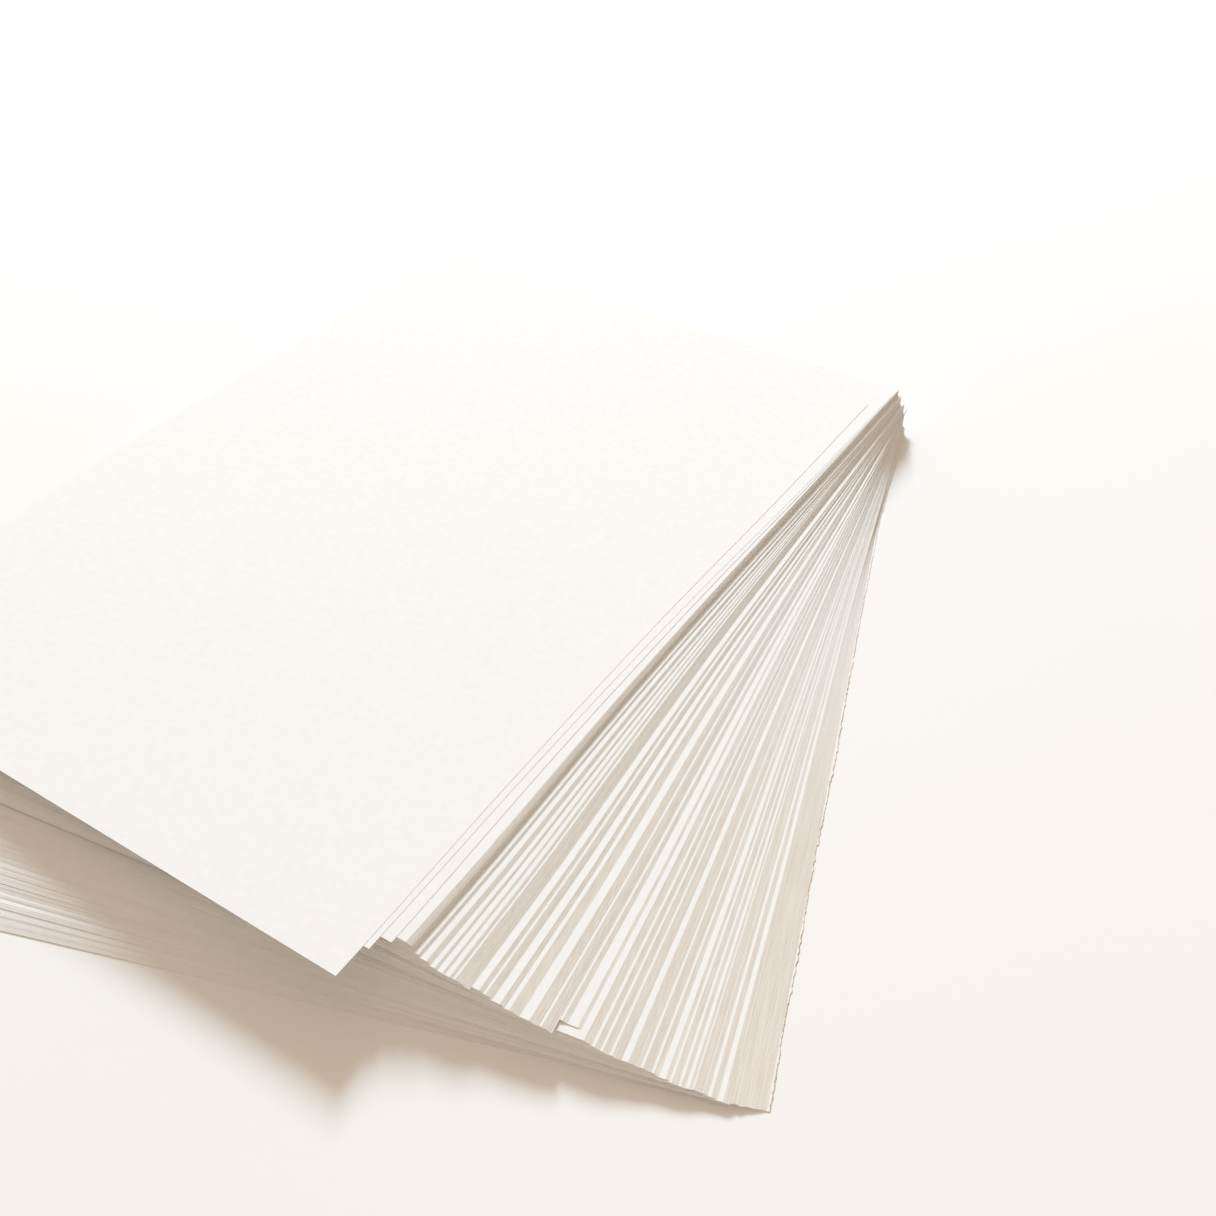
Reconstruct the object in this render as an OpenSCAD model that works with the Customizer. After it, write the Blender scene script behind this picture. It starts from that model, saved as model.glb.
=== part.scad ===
// Ream of plain white paper, out of its wrapper and fanned out by hand.
// The stack is twisted about its far right corner: the lowest sheets lie square to the
// axes, and each packet above them is turned a little further clockwise, seen from above.
// Millimetres, +Z up. X runs along the short side of the lowest sheets and Y along the long
// side. The origin is the middle of their outline, on the underside of the leaf below them.

/* [Sheet] */
// Width of a sheet, along its short side
sheet_w = 210; // [140:1:300]
// Length of a sheet, along its long side
sheet_l = 297; // [200:1:430]
// Thickness of one sheet
sheet_t = 0.08; // [0.08:0.004:0.2]
// Film of air between two sheets
air = 0.004; // [0.002:0.002:0.02]

/* [Loose sheets on top] */
// How far the near corner of each loose sheet lies inside the fan, from the top down
loose_near = [8.7, 6.9, 3.5]; // [0:0.1:20]
// How far the far corner of each loose sheet lies inside the fan
loose_far = [4.7, 2.5, 0.5]; // [0:0.1:20]
// How far each loose sheet has slid towards its near end
loose_slide = [16, 6, 2]; // [0:0.5:30]

/* [Banded part of the fan] */
// Each packet from the top down: its sheets, how far each of their near corners stands out
// from the one above, and the bare strip between the packet and the one above it
bands = [
    [27, 0.04, 0], [6, 0.14, 2.3], [7, 0.20, 1.7], [4, 0.24, 1.2], [3, 0.27, 1.5], [4, 0.25, 1.4],
    [18, 0.22, 0.7], [5, 0.26, 2.3], [8, 0.25, 0.8], [5, 0.31, 2.2], [8, 0.37, 1.3], [8, 0.34, 2.7],
    [9, 0.32, 0.8], [5, 0.31, 1.5], [3, 0.42, 2.7], [6, 0.38, 1.5], [5, 0.33, 0.9], [6, 0.33, 0.7],
    [8, 0.32, 0.7], [9, 0.37, 1.7], [7, 0.34, 0.7], [4, 0.39, 0.7], [3, 0.44, 1.7], [5, 0.38, 0.7],
    [3, 0.45, 0.7], [2, 0.59, 1.1], [6, 0.38, 0.5], [3, 0.47, 0.4], [4, 0.43, 1.0], [3, 0.48, 1.5]
]; // [1:1:40] sheets, [0:0.01:1] fanned, [0:0.1:8] bare strip

/* [Fine part of the fan] */
// Single sheets in the lowest, evenly stepped part
fine_sheets = 20; // [6:1:24]
// How far the near corner of each of these stands out from the one above
fine_step = 0.45; // [0.05:0.05:0.8]

/* [Far corners] */
// Packets that moved together, from the top down: how many, and how far their far corners
// stand out across and along from that of the lowest sheet
blocks = [
    [1, -1.2, -3.0],
    [6, 0.2, -3.6],
    [6, 1.7, -3.0],
    [2, 3.2, 0.6],
    [15, 2.3, -1.6]
]; // [1:1:30] packets, [-6:0.1:6] across, [-6:0.1:6] along
// Most that a packet in a block has slipped along its length, either way
slip = 0.3; // [0:0.1:1]
// Most that a sheet strays to either side of its place in the packet
stray = 0.06; // [0:0.01:0.2]

/* [Bottom leaf] */
// Thickness of the leaf
leaf_t = 0.3; // [0.15:0.05:1]
// How far the leaf stands out past the lowest sheet on its torn side
leaf_out = 0.9; // [0.6:0.1:4]
// Deepest bite of the torn edge
tear = 0.4; // [0.1:0.1:0.5]
// Length between two points of the torn edge
tear_pitch = 3; // [2:0.5:10]
// Distance of the deep notch from the near end of the leaf
notch_at = 79; // [10:1:120]
// Length of the notch along the edge
notch_l = 4; // [2:0.5:10]
// Distance from the near end at which the tear runs on a little further in
jog_at = 144; // [125:1:280]

/* [Hidden] */
loose_count = len(loose_near);
packet_count = len(bands) + fine_sheets;
pitch = sheet_t + air;
paper_white = [0.97, 0.96, 0.94];
torn_tan = [0.86, 0.80, 0.71];

function packet_name(i) = str("packet_", i < 10 ? "0" : "", i);
function loose_name(i) = str("loose_sheet_", i);

// Sheets in packet i, their spread and the bare strip above them, counted from 1 at the top
function is_fine(i) = i > len(bands);
function sheets_in(i) = is_fine(i) ? 1 : bands[i - 1][0];
function spread_in(i) = is_fine(i) ? 0 : bands[i - 1][1];
function step_at(i) = is_fine(i) ? fine_step : bands[i - 1][2];

// Sheets above packet i, not counting the loose ones, and the near corner of its top sheet
function sheets_above(i) = i <= 1 ? 0 : sheets_above(i - 1) + sheets_in(i - 1);
function near_out(i) =
    i <= 1 ? 0 : near_out(i - 1) + spread_in(i - 1) * (sheets_in(i - 1) - 1) + step_at(i);

stack_sheets = sheets_above(packet_count + 1);
full_swing = near_out(packet_count);

// Height of the underside of a sheet with that many others above it in the packets
function sheet_z(above) = leaf_t + air + pitch * (stack_sheets - 1 - above);

// Far corner of packet i: that of its block, and in the fine part one that runs back evenly
// to the corner of the lowest sheet
function block_of(i, b = 0) = i <= blocks[b][0] || b == len(blocks) - 1
    ? blocks[b]
    : block_of(i - blocks[b][0], b + 1);
function run_back(i) = is_fine(i) ? (packet_count - i) / fine_sheets : 1;
function far_x(i) = block_of(i)[1] * run_back(i);
function far_y(i) = (block_of(i)[2] + slip * sin(i * 55)) * run_back(i);

// A sheet laid with its far right corner out by across and along, and turned so that its
// near corner lies inside that of the lowest sheet
module laid_sheet(across, along, inside) {
    translate([sheet_w / 2 + across, sheet_l / 2 + along, 0])
        rotate([0, 0, -asin((inside + across) / sheet_l)])
            translate([-sheet_w, -sheet_l, 0])
                cube([sheet_w, sheet_l, sheet_t]);
}

// One packet: sheets that moved together, each a solid of its own
module packet(i) {
    color(paper_white)
        for (k = [0:sheets_in(i) - 1]) {
            above = sheets_above(i) + k;
            translate([0, 0, sheet_z(above)])
                laid_sheet(
                    far_x(i) + (is_fine(i) ? 0 : stray * sin(above * 97)),
                    far_y(i) + (is_fine(i) ? 0 : stray * sin(above * 61)),
                    full_swing - near_out(i) - spread_in(i) * k
                );
        }
}

// One of the single sheets that lie askew on top of the fan
module loose_sheet(i) {
    color(paper_white)
        translate([0, 0, sheet_z(-1) + pitch * (loose_count - i)])
            laid_sheet(
                far_x(1) - loose_far[i - 1],
                far_y(1) - loose_slide[i - 1],
                full_swing + loose_near[i - 1]
            );
}

// Depth of the torn edge's bites along the leaf: long waves with finer ones on them
function bite(y) =
    tear * (0.4 + 0.2 * sin(y * 7.3) + 0.12 * sin(y * 31) + 0.08 * sin(y * 83))
    + (abs(y - notch_at) < notch_l / 2 ? tear / 2 : 0)
    + (y > jog_at ? tear / 5 : 0);

// The leaf under the stack, torn along its right side and cut straight on the others
module bottom_leaf() {
    torn_x = sheet_w / 2 + leaf_out;
    tears = round(sheet_l / tear_pitch);
    torn_ys = [for (j = [0:tears]) sheet_l * j / tears];
    color(torn_tan)
        linear_extrude(leaf_t)
            polygon(concat(
                [[-sheet_w / 2, sheet_l / 2], [-sheet_w / 2, -sheet_l / 2]],
                [for (y = torn_ys) [torn_x - bite(y), y - sheet_l / 2]]
            ));
}

bottom_leaf();
for (i = [1:packet_count])
    packet(i);
for (i = [1:loose_count])
    loose_sheet(i);
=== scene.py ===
import math
import random

import bpy
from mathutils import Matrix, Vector


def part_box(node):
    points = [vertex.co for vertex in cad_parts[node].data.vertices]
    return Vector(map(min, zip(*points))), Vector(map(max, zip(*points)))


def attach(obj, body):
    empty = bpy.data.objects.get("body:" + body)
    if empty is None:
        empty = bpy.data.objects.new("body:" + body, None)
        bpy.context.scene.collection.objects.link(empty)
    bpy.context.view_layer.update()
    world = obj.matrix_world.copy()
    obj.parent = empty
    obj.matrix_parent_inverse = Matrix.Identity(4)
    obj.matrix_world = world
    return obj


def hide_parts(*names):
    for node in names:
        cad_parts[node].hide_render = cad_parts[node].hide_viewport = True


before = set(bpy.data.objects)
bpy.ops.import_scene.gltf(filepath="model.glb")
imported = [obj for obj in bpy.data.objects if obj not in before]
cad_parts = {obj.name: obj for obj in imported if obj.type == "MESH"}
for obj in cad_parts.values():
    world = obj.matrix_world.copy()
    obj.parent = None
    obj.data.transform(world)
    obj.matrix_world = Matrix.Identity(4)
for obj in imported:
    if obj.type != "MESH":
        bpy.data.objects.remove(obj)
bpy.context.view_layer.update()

# Camera. It looks down across the near right corner of the stack and along the fan, to the
# far right corner about which the sheets were twisted.
camera_at = (0.112726, -0.322841, 0.299261)
camera_down = math.radians(40.527)
camera_turn = math.radians(14.648)
focal_px = 1400
frame_px = 1216
camera_data = bpy.data.cameras.new("camera")
camera_data.sensor_width = 36
camera_data.lens = focal_px / frame_px * camera_data.sensor_width
camera_data.clip_start = 0.01
camera = bpy.data.objects.new("camera", camera_data)
bpy.context.scene.collection.objects.link(camera)
camera.location = camera_at
camera.rotation_euler = (math.pi / 2 - camera_down, 0, camera_turn)
bpy.context.scene.camera = camera


# Bottom leaf. A stiff off-white leaf, 0.3 mm thick, lies under the whole stack. It is cut
# straight on three sides. The right side was torn off, so its white face stops at a ragged
# line and a narrow slope of bare tan fibres runs out below it.
def new_material(name, roughness):
    material = bpy.data.materials.new(name)
    material.use_nodes = True
    nodes = material.node_tree.nodes
    bsdf = nodes["Principled BSDF"]
    bsdf.inputs["Roughness"].default_value = roughness
    bsdf.inputs["Specular IOR Level"].default_value = 0.25
    return material, nodes, material.node_tree.links, bsdf


def noise_node(nodes, links, scale, detail, stretch=(1, 1, 1)):
    place = nodes.new("ShaderNodeTexCoord")
    mapping = nodes.new("ShaderNodeMapping")
    mapping.inputs["Scale"].default_value = stretch
    noise = nodes.new("ShaderNodeTexNoise")
    noise.inputs["Scale"].default_value = scale
    noise.inputs["Detail"].default_value = detail
    links.new(place.outputs["Object"], mapping.inputs["Vector"])
    links.new(mapping.outputs["Vector"], noise.inputs["Vector"])
    return noise


def shade_between(nodes, links, noise, stops):
    ramp = nodes.new("ShaderNodeValToRGB")
    ramp.color_ramp.elements[0].position = stops[0][0]
    ramp.color_ramp.elements[0].color = (*stops[0][1], 1)
    ramp.color_ramp.elements[1].position = stops[-1][0]
    ramp.color_ramp.elements[1].color = (*stops[-1][1], 1)
    for position, color in stops[1:-1]:
        ramp.color_ramp.elements.new(position).color = (*color, 1)
    links.new(noise.outputs["Fac"], ramp.inputs["Fac"])
    return ramp


def graded(nodes, links, value, start, stop):
    grade = nodes.new("ShaderNodeMapRange")
    grade.inputs["From Min"].default_value = start
    grade.inputs["From Max"].default_value = stop
    links.new(value, grade.inputs["Value"])
    return grade


def turning_into(nodes, links, grade, first):
    mix = nodes.new("ShaderNodeMix")
    mix.data_type = "RGBA"
    links.new(grade.outputs["Result"], mix.inputs["Factor"])
    links.new(first.outputs["Color"], mix.inputs["A"])
    return mix


def fibre_bump(nodes, links, bsdf, scale, detail, depth):
    bump = nodes.new("ShaderNodeBump")
    bump.inputs["Strength"].default_value = 0.5
    bump.inputs["Distance"].default_value = depth
    fibres = noise_node(nodes, links, scale, detail)
    links.new(fibres.outputs["Fac"], bump.inputs["Height"])
    links.new(bump.outputs["Normal"], bsdf.inputs["Normal"])


# Joins rows of points, each one section through the paper, and closes the first and the last
def join_rows(verts, faces, finishes, rows, side_finishes, end_finish):
    base, count = len(verts), len(side_finishes)
    for number, row in enumerate(rows):
        verts.extend(row)
        if number:
            ahead = base + number * count
            behind = ahead - count
            for side, finish in enumerate(side_finishes):
                following = (side + 1) % count
                faces.append((behind + side, behind + following, ahead + following, ahead + side))
                finishes.append(finish)
    last = len(verts) - count
    faces.append(tuple(range(base + count - 1, base - 1, -1)))
    faces.append(tuple(range(last, last + count)))
    finishes.extend([end_finish, end_finish])


def add_piece(name, verts, faces, finishes, materials, node):
    mesh = bpy.data.meshes.new(name)
    mesh.from_pydata(verts, [], faces)
    for material in materials:
        mesh.materials.append(material)
    mesh.polygons.foreach_set("material_index", finishes)
    mesh.update()
    piece = bpy.data.objects.new(name, mesh)
    bpy.context.scene.collection.objects.link(piece)
    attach(piece, "root")
    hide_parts(node)


leaf_face, nodes, links, bsdf = new_material("leaf_face", 0.8)
mottle = noise_node(nodes, links, 700, 6)
tint = shade_between(nodes, links, mottle, [(0.3, (0.88, 0.86, 0.82)), (0.7, (0.93, 0.92, 0.89))])
links.new(tint.outputs["Color"], bsdf.inputs["Base Color"])
fibre_bump(nodes, links, bsdf, 5000, 3, 0.00003)

# The fibres are tan along the near half of the leaf and pale towards its far end
torn_fibre, nodes, links, bsdf = new_material("torn_fibre", 0.95)
flecks = noise_node(nodes, links, 1100, 5)
tan = shade_between(nodes, links, flecks, [
    (0.36, (0.46, 0.33, 0.18)),
    (0.49, (0.70, 0.59, 0.43)),
    (0.66, (0.88, 0.82, 0.73)),
])
place = nodes.new("ShaderNodeTexCoord")
along_tear = nodes.new("ShaderNodeSeparateXYZ")
links.new(place.outputs["Object"], along_tear.inputs["Vector"])
thinning = graded(nodes, links, along_tear.outputs["Y"], 0.0, 0.075)
feathered = turning_into(nodes, links, thinning, tan)
feathered.inputs["B"].default_value = (0.92, 0.90, 0.87, 1)
links.new(feathered.outputs["Result"], bsdf.inputs["Base Color"])
fibre_bump(nodes, links, bsdf, 9000, 4, 0.00006)

leaf_low, leaf_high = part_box("bottom_leaf")
leaf_l = leaf_high.y - leaf_low.y
leaf_t = leaf_high.z
tear_x = 0.10562
tear_rows = 660
notch_at = 0.0795
notch_half = 0.0024
notch_depth = 0.00045
jog_at = 0.144
jog_depth = 0.00012
# Over the last 60 mm towards the far corner the foot of the stack swells outwards
swell_from = 0.2345
swell = 0.0026
ragged = 0.00005
# The torn slope's width, which varies at random, in waves along the leaf and with the swell
slope_w = (0.00016, 0.00034)
slope_wave = 0.0001
slope_pitch = 310
slope_swell = 0.12
slope_middle = 0.45
fibre_count = 420
fibre_root = 0.00012
tear_draw = random.Random(31)


def draw_waves(count, sizes, pitches):
    return [(tear_draw.uniform(*sizes), tear_draw.uniform(*pitches), tear_draw.uniform(0, 6.28))
            for _ in range(count)]


waves = draw_waves(7, (0.00003, 0.00012), (40, 220)) + draw_waves(9, (0.00002, 0.00006), (600, 2600))


def swell_at(along):
    return swell * math.sin(max(0, along - swell_from) / (leaf_l - swell_from) * math.pi / 2)


def torn_edge(along):
    x = tear_x + sum(size * math.sin(along * pitch + start) for size, pitch, start in waves)
    if abs(along - notch_at) < notch_half:
        x -= notch_depth * (1 - abs(along - notch_at) / notch_half) ** 0.5
    if along > jog_at:
        x -= jog_depth
    return x + swell_at(along)


smooth, fibrous = 0, 1
rows = []
for row in range(tear_rows + 1):
    along = leaf_l * row / tear_rows
    y = along - leaf_l / 2
    outer = torn_edge(along) + tear_draw.uniform(-ragged, ragged)
    slope = tear_draw.uniform(*slope_w) + slope_wave * math.sin(along * slope_pitch)
    slope += slope_swell * swell_at(along)
    rows.append([
        (leaf_low.x, y, 0),
        (leaf_low.x, y, leaf_t),
        (outer - slope, y, leaf_t),
        (outer - slope * slope_middle, y, leaf_t * tear_draw.uniform(0.5, 0.8)),
        (outer, y, leaf_t * tear_draw.uniform(0.1, 0.35)),
        (outer, y, 0),
    ])
verts, faces, finishes = [], [], []
join_rows(verts, faces, finishes, rows, [smooth, smooth, fibrous, fibrous, fibrous, smooth], smooth)

# Each loose fibre is a thin spike that lies out from the tear
for _ in range(fibre_count):
    along = tear_draw.uniform(0.001, leaf_l - 0.001)
    x = torn_edge(along) - fibre_root
    y = along - leaf_l / 2
    length = tear_draw.uniform(0.00012, 0.00045)
    turn = tear_draw.uniform(-1.1, 1.1)
    thick = tear_draw.uniform(0.00002, 0.00006)
    z = tear_draw.uniform(0.00005, 0.00018)
    start = len(verts)
    verts += [(x, y - thick, z), (x, y + thick, z), (x, y, z + thick * 1.6)]
    verts.append((x + length * math.cos(turn), y + length * math.sin(turn), z * 0.6))
    faces += [(start, start + 2, start + 1), (start, start + 1, start + 3)]
    faces += [(start + 1, start + 2, start + 3), (start + 2, start, start + 3)]
    finishes += [fibrous] * 4
add_piece("leaf_torn", verts, faces, finishes, [leaf_face, torn_fibre], "bottom_leaf")


# Packets of the fan. Each is a run of white copy paper, guillotined to A4 and 0.08 mm thick,
# that slid as one when the stack was twisted. Its sheets fan out by a hair from one to the
# next, and their bared margins carry painted shade, a little darker and warmer, with streaks.
def clean_paper(nodes, links):
    mottle = noise_node(nodes, links, 420, 7)
    return shade_between(nodes, links, mottle, [
        (0.3, (0.905, 0.898, 0.882)),
        (0.7, (0.935, 0.930, 0.918)),
    ])


sheet_face, nodes, links, bsdf = new_material("sheet_face", 0.85)
clean = clean_paper(nodes, links)
links.new(clean.outputs["Color"], bsdf.inputs["Base Color"])
fibre_bump(nodes, links, bsdf, 4500, 3, 0.00002)

# The margins carry no painted shade about the far corner, and more of it by degrees away from it
far_corner = (0.105, 0.147, 0.009)
margin_painted_shade, nodes, links, bsdf = new_material("margin_painted_shade", 0.9)
clean = clean_paper(nodes, links)
streak = noise_node(nodes, links, 60, 3, (30, 1, 90))
# These darker, warmer tones are painted shade; the streaks vary them at random from sheet to sheet
painted_shade_tone = shade_between(nodes, links, streak, [(0.35, (0.76, 0.70, 0.625)), (0.65, (0.85, 0.80, 0.735))])
place = nodes.new("ShaderNodeTexCoord")
from_corner = nodes.new("ShaderNodeVectorMath")
from_corner.operation = "DISTANCE"
from_corner.inputs[1].default_value = far_corner
links.new(place.outputs["Object"], from_corner.inputs[0])
painted_shade_reach = graded(nodes, links, from_corner.outputs["Value"], 0.08, 0.23)
painted_shade_reach.interpolation_type = "SMOOTHSTEP"
clean_or_painted_shade = turning_into(nodes, links, painted_shade_reach, clean)
links.new(painted_shade_tone.outputs["Color"], clean_or_painted_shade.inputs["B"])
links.new(clean_or_painted_shade.outputs["Result"], bsdf.inputs["Base Color"])
fibre_bump(nodes, links, bsdf, 4500, 3, 0.00002)

cut_edge, nodes, links, bsdf = new_material("cut_edge", 0.95)
layers = noise_node(nodes, links, 9, 6, (0.6, 0.6, 420))
tint = shade_between(nodes, links, layers, [
    (0.3, (0.70, 0.66, 0.60)),
    (0.5, (0.86, 0.84, 0.80)),
    (0.7, (0.92, 0.91, 0.89)),
])
links.new(tint.outputs["Color"], bsdf.inputs["Base Color"])

# The middle finish is the margin colour with painted shade
paper_finishes = [sheet_face, margin_painted_shade, cut_edge]
plain, painted_shade_strip, cut = range(3)
rows_along = 26
# Width of the strip along each bared sheet's right edge that takes the painted shade
margin_w = 0.0016
# Places across a lifted sheet at which it bends, and the share of its lift that is lost by
# the near corner
lifted = (0.004, 0.009, 0.014, 0.019, 0.024)
lift_lost = 0.6
# The knife turns the upper rim of a cut edge down a little
turned_w = 0.00005
turned_drop = 0.000018
# Most that a sheet strays from its place at its near corner, and how fast its edge sways
hair = 0.00007
sway_pitch = 9
# How far the middle of each banded packet's right edge is drawn in, in mm from the top down
drawn_in = [
    1.55, 1.50, 1.50, 1.55, 1.65, 1.75, 1.50, 1.70, 1.50, 1.60,
    1.40, 1.15, 1.00, 0.95, 1.00, 0.65, 0.75, 0.65, 0.60, 0.45,
    0.50, 0.50, 0.65, 0.55, 0.45, 0.42, 0.45, 0.50, 0.60, 0.80,
]
banded_count = len(drawn_in)
packet_count = sum(name.startswith("packet_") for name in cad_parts)
# The same for the single sheets below them, in metres, at the top and at the foot
fine_drawn_top = 0.0010
fine_drawn_foot = 0.0002
# Where along the edge the hollow ends, at the top and from this depth in the stack down
end_at_top = 0.90
end_at_foot = 0.74
end_settled = 0.625
# Packets below the 19th are drawn in near the far corner too, more and more over 4 packets,
# and less and less over the lowest 19
far_drawn = 0.00035
far_drawn_end = 0.55
far_drawn_below = 19
far_rise = 4
far_run_out = 19
# The single sheets lean out over the leaf's swell, the lowest by this much of it
swell_share = 1.2
# How much further than in the frame each sheet of the top packet stands out from the one
# above: eight splay, the rest close up again
top_splayed = 8
top_splay = 0.00016
top_closing = 0.00003
sheet_draw = random.Random(297)


# Reads a node's sheets from the frame, the topmost first, by their two heights and corners
def sheets_of(node):
    levels = {}
    for vertex in node.data.vertices:
        point = node.matrix_world @ vertex.co
        levels.setdefault(round(point.z, 6), []).append(point)
    heights = sorted(levels)
    sheets = []
    for low, high in zip(heights[0::2], heights[1::2]):
        points = levels[high]
        sheets.append({
            "low": low,
            "high": high,
            "far_right": max(points, key=lambda p: p.x + p.y).to_2d(),
            "far_left": max(points, key=lambda p: p.y - p.x).to_2d(),
            "near_right": max(points, key=lambda p: p.x - p.y).to_2d(),
        })
    return sheets[::-1]


# A hollow that starts slowly at the far corner and is over where along reaches end
def sweep(along, end):
    if along >= end:
        return 0
    return math.sin(math.pi * (along / end) ** 1.5) ** 1.3


# Adds one sheet. shift(along) says how far left its long edges are moved, from its far end,
# at 0, to its near end, at 1
def lay_sheet(verts, faces, finishes, sheet, shift, margin_finish, lift=0):
    left = sheet["far_left"] - sheet["far_right"]
    width = left.length
    left.normalize()
    low, high = sheet["low"], sheet["high"]
    bends = lifted if lift else ()
    section = [(0, low, cut), (0, high - turned_drop, cut), (turned_w, high, margin_finish)]
    section += [(across, high, plain) for across in (margin_w, *bends)]
    section += [(width, high, cut), (width, low, plain)]
    section += [(across, low, plain) for across in reversed(bends)]
    rows = []
    for row in range(rows_along + 1):
        along = row / rows_along
        edge = sheet["far_right"].lerp(sheet["near_right"], along) + left * shift(along)
        points = []
        for across, z, _ in section:
            point = edge + left * across
            raised = lift * (1 - lift_lost * along) * max(0, 1 - across / lifted[-1]) ** 2
            points.append((point.x, point.y, z + raised))
        rows.append(points)
    join_rows(verts, faces, finishes, rows, [finish for _, _, finish in section], cut)


for number in range(1, packet_count + 1):
    node_name = f"packet_{number:02d}"
    depth = (number - 1) / packet_count
    fine_share = max(0, number - banded_count) / (packet_count - banded_count)
    if fine_share:
        hollow = fine_drawn_top + (fine_drawn_foot - fine_drawn_top) * fine_share
    else:
        hollow = drawn_in[number - 1] / 1000
    hollow_end = end_at_top + (end_at_foot - end_at_top) * min(1, depth / end_settled)
    rise = max(0, number - far_drawn_below) / far_rise
    far_hollow = far_drawn * min(1, rise, (packet_count - number) / far_run_out)
    verts, faces, finishes = [], [], []
    for above, sheet in enumerate(sheets_of(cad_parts[node_name])):
        # Every sheet below the top one of a banded packet, and every single sheet below them, gets
        # painted shade on its margin
        bared = above > 0 or fine_share > 0
        stray = sheet_draw.uniform(-hair, hair) if bared else 0
        sway = sheet_draw.uniform(-hair, hair) * 0.5
        if number == 1:
            stray -= top_splay * min(above, top_splayed) - top_closing * max(0, above - top_splayed)

        def inward(along):
            drawn = hollow * sweep(along, hollow_end) + far_hollow * sweep(along, far_drawn_end)
            strayed = (stray + sway * math.sin(along * sway_pitch)) * along
            leaning = swell_share * fine_share * swell_at(leaf_l * (1 - along))
            return drawn + strayed - leaning

        lay_sheet(verts, faces, finishes, sheet, inward, painted_shade_strip if bared else plain)
    add_piece(f"{node_name}_sheets", verts, faces, finishes, paper_finishes, node_name)

# Loose sheets. Three single sheets of the same paper lie askew on top of the fan, each slid a
# little further back towards the near end than the one below it, with its edge a hair up.
loose_lift = [0.00016, 0.00012, 0.00010]
# How far each right edge is drawn in at five places from the far corner to the near one, in mm
loose_bow = [
    [5.7, 5.7, 6.6, 5.85, 4.0],
    [-0.2, 0.6, 2.45, 2.5, 1.0],
    [0.0, 0.65, 1.92, 1.68, -0.2],
]


# A smooth line through the five places
def bow_at(places, along):
    last = len(places) - 1
    i = min(int(along * last), last - 1)
    t = along * last - i
    before, here, after, beyond = (places[max(0, min(last, j))] for j in range(i - 1, i + 3))
    bend = 2 * before - 5 * here + 4 * after - beyond + t * (3 * (here - after) + beyond - before)
    return (here + t / 2 * (after - before + t * bend)) / 1000


for number, (lift, bow) in enumerate(zip(loose_lift, loose_bow), 1):
    node_name = f"loose_sheet_{number}"
    verts, faces, finishes = [], [], []
    for sheet in sheets_of(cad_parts[node_name]):
        lay_sheet(verts, faces, finishes, sheet, lambda along: bow_at(bow, along), plain, lift)
    add_piece(f"{node_name}_single", verts, faces, finishes, paper_finishes, node_name)

# Surface. The stack lies on a plain pale desk, which keeps its shadow.
desk, nodes, links, bsdf = new_material("desk", 0.7)
haze = noise_node(nodes, links, 3, 4)
tint = shade_between(nodes, links, haze, [(0.3, (0.915, 0.905, 0.885)), (0.7, (0.93, 0.92, 0.90))])
links.new(tint.outputs["Color"], bsdf.inputs["Base Color"])
reach_out = 4
corners = [(-1, -1), (1, -1), (1, 1), (-1, 1)]
mesh = bpy.data.meshes.new("desk_top")
mesh.from_pydata([(x * reach_out, y * reach_out, 0) for x, y in corners], [], [(0, 1, 2, 3)])
mesh.materials.append(desk)
desk_top = bpy.data.objects.new("desk_top", mesh)
bpy.context.scene.collection.objects.link(desk_top)

# Light. A soft lamp stands far off beyond the stack and a little to its left. Warm walls and
# ceiling fill the shade, least from the near right, where a faint soft lamp lifts the near
# cut edges. Behind the desk the room shows as plain white.
world = bpy.data.worlds.new("room")
bpy.context.scene.world = world
world.use_nodes = True
nodes, links = world.node_tree.nodes, world.node_tree.links
room = nodes["Background"]
room.inputs["Color"].default_value = (1.0, 0.81, 0.64, 1)
toward = nodes.new("ShaderNodeTexCoord")
bright_side = nodes.new("ShaderNodeVectorMath")
bright_side.operation = "DOT_PRODUCT"
bright_side.inputs[1].default_value = Vector((-0.6, 0.5, 0.6)).normalized()
links.new(toward.outputs["Generated"], bright_side.inputs[0])
room_level = graded(nodes, links, bright_side.outputs["Value"], -1, 1)
room_level.inputs["To Min"].default_value = 0.03
room_level.inputs["To Max"].default_value = 0.80
links.new(room_level.outputs["Result"], room.inputs["Strength"])
seen_wall = nodes.new("ShaderNodeBackground")
seen_wall.inputs["Color"].default_value = (0.95, 0.94, 0.92, 1)
seen = nodes.new("ShaderNodeLightPath")
seen_or_felt = nodes.new("ShaderNodeMixShader")
links.new(seen.outputs["Is Camera Ray"], seen_or_felt.inputs["Fac"])
links.new(room.outputs["Background"], seen_or_felt.inputs[1])
links.new(seen_wall.outputs["Background"], seen_or_felt.inputs[2])
links.new(seen_or_felt.outputs["Shader"], nodes["World Output"].inputs["Surface"])


def soft_lamp(name, at, aim, width, height, power, color):
    data = bpy.data.lights.new(name, "AREA")
    data.shape = "ELLIPSE"
    data.size = width
    data.size_y = height
    data.energy = power
    data.color = color
    lamp = bpy.data.objects.new(name, data)
    lamp.location = at
    lamp.rotation_euler = (Vector(at) - Vector(aim)).to_track_quat("Z", "Y").to_euler()
    bpy.context.scene.collection.objects.link(lamp)


fan_middle = Vector((0.10, 0.0, 0.0))
toward_key = Vector((-0.44, 1.14, 1.0)).normalized()
key_distance = 3.2
soft_lamp("key", fan_middle + toward_key * key_distance, fan_middle, 0.42, 1.1, 84, (0.82, 0.98, 1.12))
soft_lamp("near_fill", (0.78, -0.74, 0.30), (0.05, -0.09, 0.01), 0.60, 0.40, 1.5, (1.0, 0.93, 0.86))

bpy.context.scene.view_settings.view_transform = "Standard"
